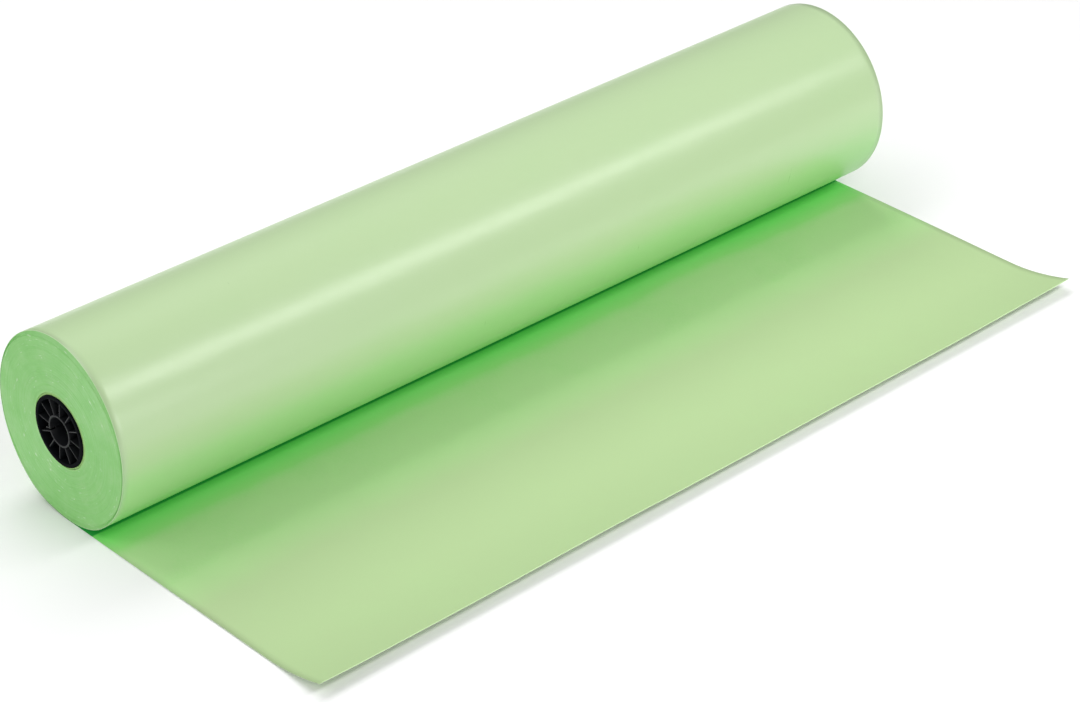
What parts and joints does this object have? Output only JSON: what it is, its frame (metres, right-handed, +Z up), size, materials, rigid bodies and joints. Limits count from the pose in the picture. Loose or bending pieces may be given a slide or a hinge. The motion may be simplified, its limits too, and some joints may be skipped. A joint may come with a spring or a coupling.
{
  "type": "backdrop paper roll",
  "caption": "Coloured craft paper web wound on a board core with a ribbed plastic plug in each end, its free length drawn out flat on the floor.",
  "frame": {"origin": "on the floor under the roll's axis, at the middle of the web's width", "axes": "+X along the roll's axis, +Z up, and the drawn-out tail runs towards -Y"},
  "size_m": [0.918, 0.4179, 0.1784],
  "materials": {
    "paper_matte": "matte side of a duo-finish craft paper",
    "paper_glazed": "glazed side of a duo-finish craft paper, soft sheen",
    "core_board": "matte spirally wound board",
    "tape": "matte paper tape",
    "plug_plastic": "black moulded plastic, satin"
  },
  "bodies": {
    "tail": {"paper_tail": "paper_matte"},
    "leaving_turn": {"outer_turn": "paper_glazed"},
    "roll": {"wound_paper": "paper_matte", "core_inner_ply": "core_board", "core_middle_ply": "core_board", "core_outer_ply": "core_board", "start_tape": "tape"},
    "left_plug": {"left_core_plug": "plug_plastic"},
    "right_plug": {"right_core_plug": "plug_plastic"}
  },
  "joints": [
    {"name": "unroll_slide", "type": "slide", "parent": "tail", "child": "leaving_turn", "axis": [0, -1, 0], "range_m": [-0.4, 0.12]},
    {"name": "roll_spin", "type": "hinge", "parent": "leaving_turn", "child": "roll", "pos_m": [0, 0, 0.0895], "axis": [1, 0, 0], "range_deg": [-260, 80]},
    {"name": "left_plug_pull", "type": "slide", "parent": "roll", "child": "left_plug", "axis": [-1, 0, 0], "range_m": [0, 0.05]},
    {"name": "right_plug_pull", "type": "slide", "parent": "roll", "child": "right_plug", "axis": [1, 0, 0], "range_m": [0, 0.05]}
  ],
  "couplings": [
    {"joint": "roll_spin", "follows": "unroll_slide", "rad_per_m": 11.249}
  ]
}
